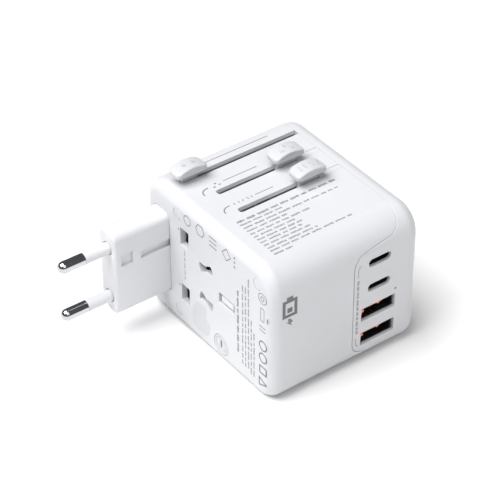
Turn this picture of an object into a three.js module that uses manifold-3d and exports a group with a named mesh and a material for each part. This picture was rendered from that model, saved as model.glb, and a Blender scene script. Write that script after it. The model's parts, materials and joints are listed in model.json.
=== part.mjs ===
// Universal travel adapter with three retractable plugs, a universal socket and four USB ports.
// Millimetres, +Z up. The plug face looks along -X, the socket face along +X, the USB face along -Y
// and the three sliders run along X in the top face. The origin is the centre of the underside.
import * as THREE from 'three';
import { mergeVertices } from 'three/addons/utils/BufferGeometryUtils.js';
import Module from 'manifold-3d';

const wasm = await Module();
wasm.setup();

// ---------------------------------------------------------------- driving dimensions
const LENGTH = 57.4; // X, plug face to socket face
const WIDTH = 66.8; // Y, USB face to back face
const HEIGHT = 50.3; // Z
const WALL = 2.2;
const FRONT = -WIDTH / 2;
const BACK = WIDTH / 2;
const PLUG_FACE = -LENGTH / 2;
const SOCKET_FACE = LENGTH / 2;
const PLUG_EDGE = 3.8; // fillet round the plug face
const SOCKET_EDGE = 5.0; // fillet round the socket face
const CORNERS = { topBack: 8.0, topFront: 9.6, bottomFront: 6.8, bottomBack: 5.0 };
const SEAM_X = 22.3; // housing and end cap meet here
const GAP = 0.3; // clearance between neighbouring pieces

const PIN_Z = 25.65; // height of the centre line of every plug
const TOP = HEIGHT;
const SLOT_WIDTH = 2.2;
const SLOT_END = 22.1;

const EU = { y: 24.3, pitch: 18.8, radius: 2.0, length: 19, sleeve: 10, out: 19.3, travel: 38.9 };
const EU_BLOCK = { front: -49.1, near: 20.2, far: 28.9, bottom: 10.0, top: 41.3, rear: -16.6 };
const EU_SLIDER = { y: 21.95, x: -19.9, slotStart: -23.1, neck: 5.8 };

const UK = { y: 12.05, spread: 11.11, earthY: -10.15, travel: 22.4, recess: 4.7 };
const UK_PIN = { width: 3.9, height: 6.2 };
const UK_EARTH = { width: 7.6, height: 3.6, recess: 0.4 };
const UK_SLIDER = { y: 10.6, x: 9.2, slotStart: -17.0, neck: 7.2 };

const US = { y: 0.7, spread: 6.35, travel: 22.4, recess: 4.9, turn: 30 };
const US_BLADE = { width: 6.35, thickness: 1.5 };
const HUB = { radius: 2.9, shank: 1.5, boss: 3.6 }; // turning hub of each blade
const US_SLIDER = { y: -0.75, x: 9.2, slotStart: -17.0, neck: 7.2 };

const KNOB = { length: 11.4, width: 6.0, lift: 3.0, end: 1.5, crown: 2.9, press: 1.5 };
const PLATE = { front: -3.8, rear: 0.2 }; // cross plates of the UK and US carriages

const USB = { x: 12.2, cLevels: [38.5, 28.9], aLevels: [19.4, 9.8] };
const BOARD = { near: -21.2, far: -19.6 };
const SOCKET = { y: 8.0, earthY: -14.2, insert: [-20.5, 15.0, 17.2] };
const SPRING = { y: -7.0, z: PIN_Z + 4.2, length: 11.9 }; // shutter spring
const RIB_TOP = 7.2; // stiffening ribs on the floor of the housing
const FUSE = { y: -6.9, z: 6.9, cap: 3.65 };
const SCREWS = [[15.6, 44.4], [15.5, 6.4], [-25.8, 43.6]];

// ---------------------------------------------------------------- solid helpers
function solid(geometry) {
  const plain = geometry.clone();
  plain.deleteAttribute('normal');
  plain.deleteAttribute('uv');
  const welded = mergeVertices(plain, 1e-5);
  return new wasm.Manifold(new wasm.Mesh({
    numProp: 3,
    vertProperties: Float32Array.from(welded.attributes.position.array),
    triVerts: Uint32Array.from(welded.index.array),
  }));
}

function geometryOf(body) {
  const mesh = body.getMesh();
  const geometry = new THREE.BufferGeometry();
  geometry.setAttribute('position', new THREE.BufferAttribute(Float32Array.from(mesh.vertProperties), 3));
  geometry.setIndex(new THREE.BufferAttribute(Uint32Array.from(mesh.triVerts), 1));
  geometry.computeVertexNormals();
  return geometry;
}

function join(...bodies) {
  return bodies.reduce((sum, body) => sum.add(body));
}

function cut(body, ...tools) {
  return tools.reduce((rest, tool) => rest.subtract(tool), body);
}

// box between two opposite corners
function box(x0, x1, y0, y1, z0, z1) {
  const geometry = new THREE.BoxGeometry(x1 - x0, y1 - y0, z1 - z0);
  geometry.translate((x0 + x1) / 2, (y0 + y1) / 2, (z0 + z1) / 2);
  return solid(geometry);
}

// closed outline from points, or a rounded rectangle with one radius or four
function outline(points) {
  return new THREE.Shape(points.map(([u, v]) => new THREE.Vector2(u, v)));
}

function roundedRect(u0, u1, v0, v1, radii) {
  const [a, b, c, d] = Array.isArray(radii) ? radii : [radii, radii, radii, radii];
  const shape = new THREE.Shape();
  shape.moveTo(u1, v1 - a);
  shape.absarc(u1 - a, v1 - a, a, 0, Math.PI / 2);
  shape.absarc(u0 + b, v1 - b, b, Math.PI / 2, Math.PI);
  shape.absarc(u0 + c, v0 + c, c, Math.PI, Math.PI * 1.5);
  shape.absarc(u1 - d, v0 + d, d, Math.PI * 1.5, Math.PI * 2);
  return shape;
}

const AXES = {
  X: new THREE.Matrix4().makeBasis(
    new THREE.Vector3(0, 1, 0), new THREE.Vector3(0, 0, 1), new THREE.Vector3(1, 0, 0)),
  Y: new THREE.Matrix4().makeBasis(
    new THREE.Vector3(0, 0, 1), new THREE.Vector3(1, 0, 0), new THREE.Vector3(0, 1, 0)),
  Z: new THREE.Matrix4(),
};

// prism along an axis: along X the outline is (y, z), along Y it is (z, x), along Z it is (x, y)
function prism(axis, shape, from, to, { bevel = 0, steps = 2, curve = 4 } = {}) {
  const geometry = new THREE.ExtrudeGeometry(shape, {
    depth: to - from - 2 * bevel,
    curveSegments: curve,
    bevelEnabled: bevel > 0,
    bevelThickness: bevel,
    bevelSize: bevel,
    bevelSegments: steps,
  });
  geometry.translate(0, 0, from + bevel);
  geometry.applyMatrix4(AXES[axis]);
  return solid(geometry);
}

// cylinder along an axis through (u, v) of the plane the axis is normal to
function rod(axis, u, v, radius, from, to, sides = 20) {
  const geometry = new THREE.CylinderGeometry(radius, radius, to - from, sides);
  geometry.rotateX(Math.PI / 2);
  geometry.translate(u, v, (from + to) / 2);
  geometry.applyMatrix4(AXES[axis]);
  return solid(geometry);
}

// lathe about a line parallel to X through (y, z); profile points are (x, radius)
function turned(profile, y, z, sides = 20) {
  const points = profile.map(([x, radius]) => new THREE.Vector2(radius, x));
  const geometry = new THREE.LatheGeometry(points, sides);
  geometry.rotateX(Math.PI / 2);
  geometry.applyMatrix4(AXES.X);
  geometry.translate(0, y, z);
  const body = solid(geometry);
  return body.volume() < 0 ? solid(flipped(geometry)) : body;
}

function flipped(geometry) {
  const copy = geometry.clone();
  const index = copy.index.array;
  for (let i = 0; i < index.length; i += 3) {
    [index[i], index[i + 1]] = [index[i + 1], index[i]];
  }
  return copy;
}

// ---------------------------------------------------------------- finishes
const FINISH = {
  shell: ['#f2f2f4', 0.42, 0.0],
  knob: ['#e2e3e6', 0.5, 0.0],
  plug: ['#eeeef1', 0.4, 0.0],
  inner: ['#2c2d30', 0.6, 0.0],
  steel: ['#c9cbd0', 0.18, 1.0],
  brass: ['#c9a45a', 0.3, 1.0],
  board: ['#1f4d33', 0.55, 0.0],
  port: ['#141416', 0.4, 0.0],
  copper: ['#c77a4b', 0.35, 1.0],
  glass: ['#d8e4e6', 0.08, 0.0],
  ferrite: ['#3a3b3e', 0.7, 0.0],
  winding: ['#e3c04a', 0.5, 0.0],
  can: ['#26303f', 0.45, 0.0],
  light: ['#dfe6f2', 0.2, 0.0],
};

const group = new THREE.Group();
group.name = 'travel_adapter';

function piece(name, body, finish, position = [0, 0, 0]) {
  const [color, roughness, metalness] = FINISH[finish];
  const material = new THREE.MeshStandardMaterial({ color, roughness, metalness });
  const mesh = new THREE.Mesh(geometryOf(body), material);
  mesh.name = name;
  mesh.position.set(...position);
  group.add(mesh);
  return mesh;
}

// ---------------------------------------------------------------- body profile
// rounded profile seen along X, shrunk by inset
function bodyProfile(inset) {
  const { topBack, topFront, bottomFront, bottomBack } = CORNERS;
  const radii = [topBack, topFront, bottomFront, bottomBack].map((r) => Math.max(r - inset, 0.6));
  return roundedRect(FRONT + inset, BACK - inset, inset, HEIGHT - inset, radii);
}

function bodyBlock(edge) {
  return prism('X', bodyProfile(edge), PLUG_FACE, SOCKET_FACE, { bevel: edge, steps: 5, curve: 5 });
}

// everything on the socket side of the seam, with the USB tongue on the front face
function capSide(gap) {
  const shape = new THREE.Shape();
  const left = 2.4 - gap;
  const seam = SEAM_X - gap;
  shape.moveTo(60, 40);
  shape.lineTo(60, seam);
  shape.lineTo(TOP, seam);
  shape.bezierCurveTo(49.4 + gap / 2, 21.0 - gap, 45.2 + gap, 20.6 - gap / 2, 44.7 + gap, 16.2);
  shape.lineTo(43.4 + gap, 7.2);
  shape.bezierCurveTo(43.0 + gap, 4.2 - gap, 41.4, left, 38.2, left);
  shape.lineTo(9.2, left);
  shape.bezierCurveTo(7.0, left, 6.2 - gap, 3.0, 5.2 - gap, 4.9);
  shape.bezierCurveTo(3.8 - gap, 7.4, 2.6 - gap, 9.0, 1.2 - gap, 11.0);
  shape.bezierCurveTo(0.4 - gap, 14.0, 0.2 - gap, 18.0, -gap, seam);
  shape.lineTo(-10, seam);
  shape.lineTo(-10, 40);
  const tongue = prism('Y', shape, FRONT - 5, -24, { curve: 6 });
  return join(tongue, box(seam, 40, -24.01, 40, -10, 60));
}

// slot outline for the turning blades, centre (y, z); side is the sense of the turn
function bladeSlot(y, z, side) {
  const reach = 3.5;
  const half = THREE.MathUtils.radToDeg(Math.asin(1.0 / reach));
  const points = [];
  const add = (degrees, radius) => {
    const a = THREE.MathUtils.degToRad(side * degrees);
    points.push([y + radius * Math.cos(a), z + radius * Math.sin(a)]);
  };
  const span = US.turn + 2 * half;
  for (const start of [-half, 180 - half]) {
    for (let i = 0; i <= 4; i += 1) {
      add(start + (span * i) / 4, reach);
    }
    add(start + half + US.turn / 2 + 90, 1.04);
  }
  if (side < 0) {
    points.reverse();
  }
  return outline(points);
}

// ---------------------------------------------------------------- housing
const sliders = [EU_SLIDER, UK_SLIDER, US_SLIDER];
const cavity = prism('X', bodyProfile(WALL), PLUG_FACE + WALL, SOCKET_FACE - 2.4, { curve: 4 });

const plugOpenings = [
  prism('X', roundedRect(EU_BLOCK.near - GAP, EU_BLOCK.far + GAP, EU_BLOCK.bottom - GAP,
    EU_BLOCK.top + GAP, [2.9, 2.8, 3.1, 5.9]), PLUG_FACE - 1, PLUG_FACE + 4, { curve: 4 }),
  ...[-1, 1].map((s) => prism('X',
    roundedRect(UK.y - 2.2, UK.y + 2.2, PIN_Z + s * UK.spread - 3.35, PIN_Z + s * UK.spread + 3.35, 0.4),
    PLUG_FACE - 1, PLUG_FACE + 4, { curve: 1 })),
  prism('X', roundedRect(UK.earthY - 4.05, UK.earthY + 4.05, PIN_Z - 2.05, PIN_Z + 2.05, 0.4),
    PLUG_FACE - 1, PLUG_FACE + 4, { curve: 1 }),
  ...[-1, 1].map((s) => prism('X', bladeSlot(US.y, PIN_Z + s * US.spread, -s),
    PLUG_FACE - 1, PLUG_FACE + 4)),
  rod('X', FUSE.y, FUSE.z, FUSE.cap + 0.25, PLUG_FACE - 1, PLUG_FACE + 4, 28),
];

const topSlots = sliders.map(({ y, slotStart }) => prism('Z',
  roundedRect(slotStart, SLOT_END, y - SLOT_WIDTH / 2, y + SLOT_WIDTH / 2, 0.9),
  TOP - 5, TOP + 1, { curve: 2 }));

const screwSeats = SCREWS.map(([y, z]) => rod('X', y, z, 2.5, PLUG_FACE + 1, PLUG_FACE + 5.6, 20));
const screwHoles = SCREWS.map(([y, z]) => join(
  rod('X', y, z, 2.0, PLUG_FACE - 1, PLUG_FACE + 3.6, 20),
  rod('X', y, z, 1.2, PLUG_FACE + 3, PLUG_FACE + 8, 16)));

// stiffening ribs across the floor, with a gap for the long screw's post
const ribs = [
  box(PLUG_FACE + 1, SEAM_X - 0.6, 3.2, 4.4, 1, RIB_TOP),
  ...[-14.0, 4.0].flatMap((x) => [
    box(x, x + 1.2, x > 0 ? -17.4 : -2.6, 12.2, 1, RIB_TOP),
    box(x, x + 1.2, 18.8, BACK - 1, 1, RIB_TOP)]),
];

const outer = bodyBlock(PLUG_EDGE);
let housing = cut(outer, cavity);
housing = join(housing, ...ribs.map((rib) => rib.intersect(outer)));
housing = join(housing, ...screwSeats.map((seat) => seat.intersect(outer)));
housing = cut(housing, capSide(GAP), ...plugOpenings, ...topSlots, ...screwHoles);
piece('main_housing', housing, 'shell');

// ---------------------------------------------------------------- end cap
const [insertNear, insertFar, insertHalf] = SOCKET.insert;
const insertShape = (grow) => roundedRect(insertNear - grow, insertFar + grow,
  PIN_Z - insertHalf - grow, PIN_Z + insertHalf + grow, 9);
const capPosts = SCREWS.map(([y, z]) => cut(
  rod('X', y, z, 2.4, PLUG_FACE + 6.0, SOCKET_FACE - 2, 16),
  rod('X', y, z, 1.15, PLUG_FACE + 3, PLUG_FACE + 20, 12)));

// window in the front wall with a pocket behind it for the port's metal shell
function usbWindow(level, width, height, radius, room) {
  const hole = (grow, from) => prism('Y', roundedRect(level - height / 2 - grow, level + height / 2 + grow,
    USB.x - width / 2 - grow, USB.x + width / 2 + grow, radius + grow), from, FRONT + 4, { curve: 3 });
  return join(hole(0, FRONT - 1), hole(room, FRONT + 1.0));
}

let cap = cut(bodyBlock(SOCKET_EDGE), cavity);
cap = cap.intersect(capSide(0));
cap = join(cap, ...capPosts);
cap = cut(cap,
  prism('X', insertShape(GAP), SOCKET_FACE - 5, SOCKET_FACE + 1, { curve: 3 }),
  ...USB.cLevels.map((level) => usbWindow(level, 8.6, 2.9, 1.4, 0.5)),
  ...USB.aLevels.map((level) => usbWindow(level, 13.3, 5.05, 0.3, 0.4)),
  rod('Y', 24.0, 18.9, 0.75, FRONT - 1, FRONT + 4, 12));
cap = join(cap,
  ...[-1, 1].map((s) => box(SOCKET_FACE - 4.6, SOCKET_FACE - 2.9, insertNear - 1.5, insertFar + 1.5,
    PIN_Z + s * (insertHalf + 1.2) - 2.4, PIN_Z + s * (insertHalf + 1.2) + 2.4)));
piece('socket_end_cap', cap, 'shell');

// ---------------------------------------------------------------- socket insert, shutter, contacts
const lineHoles = [-1, 1].map((s) => join(
  prism('X', roundedRect(SOCKET.y - 2.6, SOCKET.y + 2.6,
    PIN_Z + s * 9.9 - 4.7, PIN_Z + s * 9.9 + 4.7, 1.2), 20, 40, { curve: 2 }),
  prism('X', roundedRect(SOCKET.y - 3.7, SOCKET.y + 3.7,
    PIN_Z + s * 6.9 - 1.1, PIN_Z + s * 6.9 + 1.1, 0.4), 20, 40, { curve: 1 })));
const earthHole = join(
  prism('X', roundedRect(SOCKET.earthY - 4.2, SOCKET.earthY + 4.2, PIN_Z - 2.3, PIN_Z + 2.3, 0.5),
    20, 40, { curve: 1 }),
  rod('X', SOCKET.y - 11.9, PIN_Z, 2.6, 20, 40, 20));
const insert = cut(
  prism('X', insertShape(0), SOCKET_FACE - 2.6, SOCKET_FACE - 0.3, { bevel: 0, curve: 3 }),
  ...lineHoles, earthHole);
piece('socket_insert', join(insert,
  box(24.2, SOCKET_FACE - 2.5, -8.2, SPRING.y - 0.1, SPRING.z - 1.0, SPRING.z + 1.0)), 'shell');

piece('safety_shutter', cut(
  prism('X', roundedRect(4.0, 12.0, PIN_Z - 15.2, PIN_Z + 15.2, 1.0), 24.3, 25.7, { curve: 1 }),
  box(24, 26, 3.0, 5.2, SPRING.z - 1.1, SPRING.z + 1.1)), 'inner');

// small coil between the shutter and the peg behind the socket insert
function coil(radius, wire, turns, length) {
  class Helix extends THREE.Curve {
    getPoint(t) {
      const a = t * turns * Math.PI * 2;
      return new THREE.Vector3(radius * Math.cos(a), t * length, radius * Math.sin(a));
    }
  }
  const ring = new THREE.Shape();
  ring.absarc(0, 0, wire, 0, Math.PI * 2);
  return solid(new THREE.ExtrudeGeometry(ring, {
    steps: turns * 8, curveSegments: 3, bevelEnabled: false, extrudePath: new Helix(),
  }));
}
piece('shutter_spring', coil(0.6, 0.18, 8, SPRING.length), 'steel', [25.0, SPRING.y, SPRING.z]);

function contactCage(y0, y1, z0, z1) {
  return cut(box(9, 23.8, y0, y1, z0, z1),
    box(9.6, 25, y0 + 0.6, y1 - 0.6, z0 - 1, z1 + 1),
    box(12, 20, y0 - 1, y1 + 1, (z0 + z1) / 2 - 1, (z0 + z1) / 2 + 1));
}
piece('line_contact', contactCage(SOCKET.y - 3.1, SOCKET.y + 3.1, 30.4, 40.1), 'brass');
piece('neutral_contact', contactCage(SOCKET.y - 3.1, SOCKET.y + 3.1, 11.2, 20.9), 'brass');
piece('earth_contact', contactCage(SOCKET.earthY - 3.0, SOCKET.earthY + 3.2, PIN_Z - 3.6, PIN_Z + 3.6),
  'brass');

function busbar(z0, z1) {
  return join(box(-24, 20, 16.6, 17.4, z0, z1), box(19.2, 20, 11.6, 17.4, z0, z1),
    box(-24, -23.2, 15.6, 17.4, z0, z1));
}
piece('line_busbar', busbar(33.0, 39.0), 'brass');
piece('neutral_busbar', busbar(12.3, 18.3), 'brass');

// ---------------------------------------------------------------- EU plug
const euFront = PLUG_FACE - EU.out;
const euZ = [PIN_Z + EU.pitch / 2, PIN_Z - EU.pitch / 2];
const sideY = EU_BLOCK.near;
let euBlock = prism('X', roundedRect(sideY + 0.7, EU_BLOCK.far - 0.7,
  EU_BLOCK.bottom + 0.7, EU_BLOCK.top - 0.7, [1.9, 1.8, 2.1, 4.9]),
  EU_BLOCK.front, EU_BLOCK.rear, { bevel: 0.7, steps: 2, curve: 4 });
euBlock = join(euBlock, box(EU_SLIDER.x - 4.6, EU_SLIDER.x + 4.2,
  EU_SLIDER.y - 2.2, EU_SLIDER.y + 2.2, EU_BLOCK.top - 2, TOP - 2.7));
euBlock = cut(euBlock,
  box(EU_SLIDER.x - 3.2, EU_SLIDER.x + 3.2, EU_SLIDER.y - 1.1, EU_SLIDER.y + 1.1, TOP - 6.9, TOP),
  box(-39.3, 0, sideY - 1, sideY + 1.1, 28.9, 31.9),
  prism('Y', roundedRect(28.9, 33.3, -46.8, -42.4, 0.4), sideY - 1, sideY + 1.0, { curve: 1 }),
  ...euZ.map((z) => rod('X', EU.y, z, 2.4, EU_BLOCK.front - 1, euFront, 20)),
  ...euZ.map((z) => rod('X', EU.y, z, 2.08, EU_BLOCK.front - 1, euFront + 8.1, 20)));
piece('eu_plug_block', euBlock, 'plug');

const tipX = -EU.length;
const sleevedPin = turned([
  [tipX, 0], [tipX + 0.15, 0.77], [tipX + 0.59, 1.41], [tipX + 1.25, 1.85], [tipX + 2.0, 2.0],
  [-EU.sleeve, 2.0], [-EU.sleeve, 1.5], [8.0, 1.5], [8.0, 0],
], 0, 0);
const sleeve = cut(rod('X', 0, 0, 1.95, -EU.sleeve + 0.1, 7.9, 20), rod('X', 0, 0, 1.6, -12, 9, 20));
euZ.forEach((z, i) => {
  const place = ['upper', 'lower'][i];
  piece(`eu_pin_${place}`, sleevedPin, 'steel', [euFront, EU.y, z]);
  piece(`eu_sleeve_${place}`, sleeve, 'plug', [euFront, EU.y, z]);
});

// ---------------------------------------------------------------- slider knobs
// crowned cap on a neck that runs down through the slot into the carriage
function knob({ neck }) {
  const half = KNOB.length / 2 - 0.5;
  const low = KNOB.lift + 0.5;
  const crown = [];
  for (let i = 0; i <= 10; i += 1) {
    const x = half - (2 * half * i) / 10;
    const rise = (KNOB.crown - KNOB.end) * (1 - (x / half) ** 2);
    crown.push([KNOB.lift + KNOB.end - 0.5 + rise, x]);
  }
  const cap2 = prism('Y', outline([[low, -half], [low, half], ...crown]),
    -KNOB.width / 2, KNOB.width / 2, { bevel: 0.5, steps: 2 });
  return join(cap2, box(-neck / 2, neck / 2, -0.8, 0.8, -5.0, KNOB.lift + 0.8));
}
const knobAt = ({ x, y }) => [x, y, TOP];
piece('eu_knob', knob(EU_SLIDER), 'knob', knobAt(EU_SLIDER));
piece('uk_knob', knob(UK_SLIDER), 'knob', knobAt(UK_SLIDER));
piece('usau_knob', knob(US_SLIDER), 'knob', knobAt(US_SLIDER));

// arm from a carriage plate to its knob, with the pocket the neck drops into and the slot cover fin
function knobArm({ x, y, neck }, foot) {
  return cut(join(
    box(PLATE.front, x + neck / 2 + 1.8, y - 2.2, y + 2.2, TOP - 9.3, TOP - 2.7),
    box(PLATE.front, PLATE.rear, y - 2.2, y + 2.2, foot, TOP - 9),
    box(x + neck / 2 + 0.9, SLOT_END - GAP, y - 0.8, y + 0.8, TOP - 6, TOP - 0.4)),
  box(x - neck / 2 - GAP, x + neck / 2 + GAP, y - 1.1, y + 1.1, TOP - 6.9, TOP));
}

// ---------------------------------------------------------------- UK plug
const ukZ = [PIN_Z + UK.spread, PIN_Z - UK.spread];
const ukTip = PLUG_FACE + UK.recess;
const earthTip = PLUG_FACE + UK_EARTH.recess;
let ukCarriage = join(
  box(PLATE.front, PLATE.rear, 8.9, 15.2, 10.6, 40.7),
  box(PLATE.front, PLATE.rear, -14.6, 9.0, 23.2, 28.1),
  knobArm(UK_SLIDER, 40));
ukCarriage = cut(ukCarriage,
  ...ukZ.map((z) => box(PLATE.front - 1, PLATE.rear - 0.8, UK.y - 1.6, UK.y + 1.6, z - 2.7, z + 2.7)),
  box(PLATE.front - 1, PLATE.rear - 0.8, UK.earthY - 3.1, UK.earthY + 3.1, PIN_Z - 1.3, PIN_Z + 1.3));
piece('uk_carriage', ukCarriage, 'inner');

// rectangular pin with bevelled tip and a smaller shank, tip at x = 0
function bladePin(width, height, length, bevel) {
  const blank = prism('X', roundedRect(-width / 2, width / 2, -height / 2, height / 2, 0.35),
    0, length, { curve: 1 });
  const tool = (rotated) => {
    const half = (rotated ? height : width) / 2;
    const wedge = outline(rotated
      ? [[half - bevel * 0.5, 0], [half + 2, 0], [half + 2, bevel * 1.6], [half, bevel * 1.6]]
      : [[0, half - bevel * 0.5], [bevel * 1.6, half], [bevel * 1.6, half + 2], [0, half + 2]]);
    return rotated
      ? prism('Y', wedge, -width, width)
      : prism('Z', wedge, -height, height);
  };
  const sides = [tool(false), tool(false).mirror([0, 1, 0]), tool(true), tool(true).mirror([0, 0, 1])];
  return cut(blank, ...sides);
}
const ukPin = join(bladePin(UK_PIN.width, UK_PIN.height, PLATE.front - GAP - ukTip, 1.4),
  box(PLATE.front - ukTip - 1, PLATE.rear - ukTip - 1.1, -1.5, 1.5, -2.6, 2.6));
piece('uk_line_pin', ukPin, 'steel', [ukTip, UK.y, ukZ[0]]);
piece('uk_neutral_pin', ukPin, 'steel', [ukTip, UK.y, ukZ[1]]);
piece('uk_earth_pin', join(
  bladePin(UK_EARTH.width, UK_EARTH.height, PLATE.front - GAP - earthTip, 1.6),
  box(PLATE.front - earthTip - 1, PLATE.rear - earthTip - 1.1, -3.0, 3.0, -1.2, 1.2)),
'plug', [earthTip, UK.earthY, PIN_Z]);

// ---------------------------------------------------------------- US and Australian plug
const usZ = [PIN_Z + US.spread, PIN_Z - US.spread];
const usTip = PLUG_FACE + US.recess;
let usCarriage = join(
  ...usZ.map((z) => box(PLATE.front, PLATE.rear, -18.0, 1.5, z - 2.6, z + 2.6)),
  ...usZ.map((z) => rod('X', US.y, z, HUB.boss, PLATE.front, PLATE.rear, 24)),
  box(PLATE.front, PLATE.rear, -18.0, -15.2, usZ[1] - 2.6, usZ[0] + 2.6),
  knobArm(US_SLIDER, usZ[0] + 2));
usCarriage = cut(usCarriage,
  ...usZ.map((z) => rod('X', US.y, z, HUB.radius + 0.3, -10, PLATE.front + 2.1, 24)),
  ...usZ.map((z) => rod('X', US.y, z, HUB.shank + GAP, -10, 10, 16)));
piece('usau_carriage', usCarriage, 'inner');

// turning hub, sunk in the carriage, with a slit for the blade's tang and a shank to the rear
const hubFront = PLATE.front + 0.1;
const hub = cut(
  turned([[hubFront, 0], [hubFront, HUB.radius], [PLATE.front + 1.8, HUB.radius],
    [PLATE.front + 1.8, HUB.shank], [PLATE.rear + 1.0, HUB.shank], [PLATE.rear + 1.0, 0]], 0, 0, 24),
  box(hubFront - 1, hubFront + 1.3, -2.6, 2.6, -0.65, 0.65));
const blade = join(
  bladePin(US_BLADE.width, US_BLADE.thickness, hubFront - 0.15 - usTip, 0.7),
  box(hubFront - usTip - 1, hubFront + 1.1 - usTip, -2.4, 2.4, -0.5, 0.5));
usZ.forEach((z, i) => {
  const place = ['upper', 'lower'][i];
  piece(`usau_hub_${place}`, hub, 'inner', [0, US.y, z]);
  piece(`usau_blade_${place}`, blade, 'steel', [usTip, US.y, z]);
});

// ---------------------------------------------------------------- fuse
piece('fuse_cap', cut(
  turned([[PLUG_FACE + 0.15, 0], [PLUG_FACE + 0.15, 2.4], [PLUG_FACE + 0.4, 2.5], [PLUG_FACE + 0.4, 2.8],
    [PLUG_FACE + 0.15, 2.9], [PLUG_FACE + 0.15, 3.4], [PLUG_FACE + 0.4, FUSE.cap],
    [PLUG_FACE + 4.6, FUSE.cap], [PLUG_FACE + 4.6, 0]], 0, 0, 28),
  box(PLUG_FACE - 1, PLUG_FACE + 1.2, -0.45, 0.45, -1.7, 1.7)), 'plug', [0, FUSE.y, FUSE.z]);
piece('fuse_tube', cut(rod('X', FUSE.y, FUSE.z, 2.4, -23.0, -4.2, 16),
  rod('X', FUSE.y, FUSE.z, 1.8, -30, 10, 16)), 'glass');
const fuseFerrule = cut(rod('X', 0, 0, 2.9, 0, 5, 16), rod('X', 0, 0, 2.5, 0.5, 6, 16));
piece('fuse_ferrule_outer', fuseFerrule, 'steel', [-23.6, FUSE.y, FUSE.z]);
piece('fuse_ferrule_inner', fuseFerrule.rotate([0, 180, 0]), 'steel', [-3.6, FUSE.y, FUSE.z]);
const fuseClip = cut(rod('X', 0, 0, 3.6, 0, 3, 20), rod('X', 0, 0, 3.1, -1, 4, 20),
  box(-1, 4, -1.8, 1.8, 1, 5));
piece('fuse_clip_outer', fuseClip, 'brass', [-22.4, FUSE.y, FUSE.z]);
piece('fuse_clip_inner', fuseClip, 'brass', [-7.8, FUSE.y, FUSE.z]);

// ---------------------------------------------------------------- USB charger
piece('charger_board', box(-25, 23.5, BOARD.near, BOARD.far, 4.5, 45.5), 'board');
piece('insulating_partition', box(-25.5, 21.5, -19.2, -18.4, 3.2, 47.0), 'inner');

const portMouth = FRONT + 1.2;
const portRear = BOARD.near - GAP;
function shellTube(width, height, radius, wall) {
  const face = (grow) => roundedRect(-height / 2 - grow, height / 2 + grow,
    -width / 2 - grow, width / 2 + grow, radius + grow);
  return cut(prism('Y', face(wall), portMouth, portRear, { curve: 2 }),
    prism('Y', face(0), portMouth - 1, portRear - 0.5, { curve: 2 }));
}
USB.cLevels.forEach((z, i) => {
  piece(`usb_c_shell_${i + 1}`, shellTube(8.4, 2.7, 1.3, 0.3), 'steel', [USB.x, 0, z]);
  piece(`usb_c_tongue_${i + 1}`, box(-3.3, 3.3, portMouth + 1.4, portRear - 0.8, -0.35, 0.35), 'port',
    [USB.x, 0, z]);
});
USB.aLevels.forEach((z, i) => {
  piece(`usb_a_shell_${i + 1}`, shellTube(12.5, 4.6, 0.3, 0.35), 'copper', [USB.x, 0, z]);
  piece(`usb_a_tongue_${i + 1}`, box(-5.6, 5.6, portMouth + 0.6, portRear - 0.8, -1.9, -0.4), 'port',
    [USB.x, 0, z]);
});
piece('status_light', rod('Y', 24.0, 18.9, 0.45, FRONT + 0.15, BOARD.near - GAP, 12), 'light');

piece('transformer_core', cut(box(-22, -5, -30.6, -21.5, 15, 33),
  box(-19.4, -7.6, -31, -21, 12, 36)).add(box(-22, -5, -30.6, -21.5, 15, 17.6))
  .add(box(-22, -5, -30.6, -21.5, 30.4, 33)), 'ferrite');
piece('transformer_winding', prism('Z', roundedRect(-19.0, -8.0, -30.2, -21.9, 2.0), 18.0, 30.0,
  { curve: 2 }), 'winding');
piece('input_capacitor', rod('Y', 9.6, -16.5, 4.2, -30.2, -21.5, 20), 'can');
piece('output_capacitor', rod('Y', 37.2, -4.0, 3.3, -29.8, -21.5, 20), 'can');
piece('filter_capacitor', rod('Y', 37.2, -13.2, 3.3, -29.8, -21.5, 20), 'can');

// ---------------------------------------------------------------- screws and their plugs
const screw = cut(
  turned([[0, 0], [0, 1.75], [1.2, 1.75], [1.2, 1.0], [13.0, 1.0], [13.6, 0.5], [13.6, 0]], 0, 0, 14),
  box(-1, 0.6, -1.1, 1.1, -0.25, 0.25), box(-1, 0.6, -0.25, 0.25, -1.1, 1.1));
const plug = turned([[0, 0], [0, 1.6], [0.15, 1.75], [1.5, 1.75], [1.5, 0]], 0, 0, 20);
SCREWS.forEach(([y, z], i) => {
  piece(`housing_screw_${i + 1}`, screw, 'steel', [PLUG_FACE + 2.3, y, z]);
  piece(`screw_plug_${i + 1}`, plug, 'shell', [PLUG_FACE + 0.12, y, z]);
});

export default group;
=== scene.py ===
"""The look of the universal travel adapter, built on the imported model.

Shapes are in millimetres until they become meshes.
"""
import json
import math
import random

import bmesh
import bpy
from mathutils import Matrix, Vector


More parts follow.
